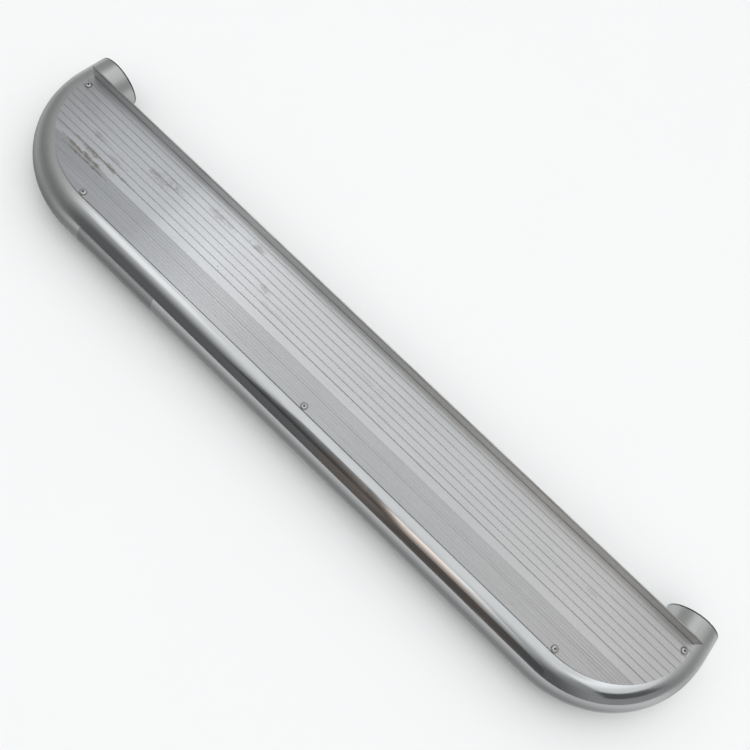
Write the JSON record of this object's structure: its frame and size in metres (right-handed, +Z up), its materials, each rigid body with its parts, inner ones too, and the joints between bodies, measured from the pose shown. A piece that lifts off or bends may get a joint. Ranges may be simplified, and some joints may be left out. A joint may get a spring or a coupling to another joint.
{
  "type": "running board",
  "caption": "Tube-framed vehicle running board: a bent polished tube with a ribbed tread plate riveted on top, an upright rear angle, cross channels and drop brackets.",
  "frame": {"origin": "middle of the board's footprint, on the surface it rests on", "axes": "+X along the board, +Y towards the vehicle, +Z up"},
  "size_m": [1.2682, 0.229, 0.0992],
  "materials": {
    "polished_stainless": "polished, with light handling marks",
    "mill_aluminium": "extruded, brushed along the ribs, scuffed",
    "satin_stainless": "satin",
    "rivet_aluminium": "satin",
    "rivet_steel": "dull",
    "black_plastic": "moulded, fine grain",
    "black_coat": "satin powder coat",
    "zinc_steel": "bright zinc plate"
  },
  "bodies": {
    "root": {"outer_tube": "polished_stainless", "tread_plate": "mill_aluminium", "rear_angle": "satin_stainless", "rivet_front_left": "rivet_aluminium", "mandrel_front_left": "rivet_steel", "rivet_front_middle": "rivet_aluminium", "mandrel_front_middle": "rivet_steel", "rivet_front_right": "rivet_aluminium", "mandrel_front_right": "rivet_steel", "rivet_rear_left": "rivet_aluminium", "mandrel_rear_left": "rivet_steel", "rivet_rear_right": "rivet_aluminium", "mandrel_rear_right": "rivet_steel", "end_cap_left": "black_plastic", "end_cap_right": "black_plastic", "cross_channel_left": "black_coat", "mount_bracket_left": "black_coat", "bolt_left_front": "zinc_steel", "washer_left_front": "zinc_steel", "nut_left_front": "zinc_steel", "bolt_left_rear": "zinc_steel", "washer_left_rear": "zinc_steel", "nut_left_rear": "zinc_steel", "cross_channel_middle": "black_coat", "mount_bracket_middle": "black_coat", "bolt_middle_front": "zinc_steel", "washer_middle_front": "zinc_steel", "nut_middle_front": "zinc_steel", "bolt_middle_rear": "zinc_steel", "washer_middle_rear": "zinc_steel", "nut_middle_rear": "zinc_steel", "cross_channel_right": "black_coat", "mount_bracket_right": "black_coat", "bolt_right_front": "zinc_steel", "washer_right_front": "zinc_steel", "nut_right_front": "zinc_steel", "bolt_right_rear": "zinc_steel", "washer_right_rear": "zinc_steel", "nut_right_rear": "zinc_steel"}
  },
  "joints": []
}
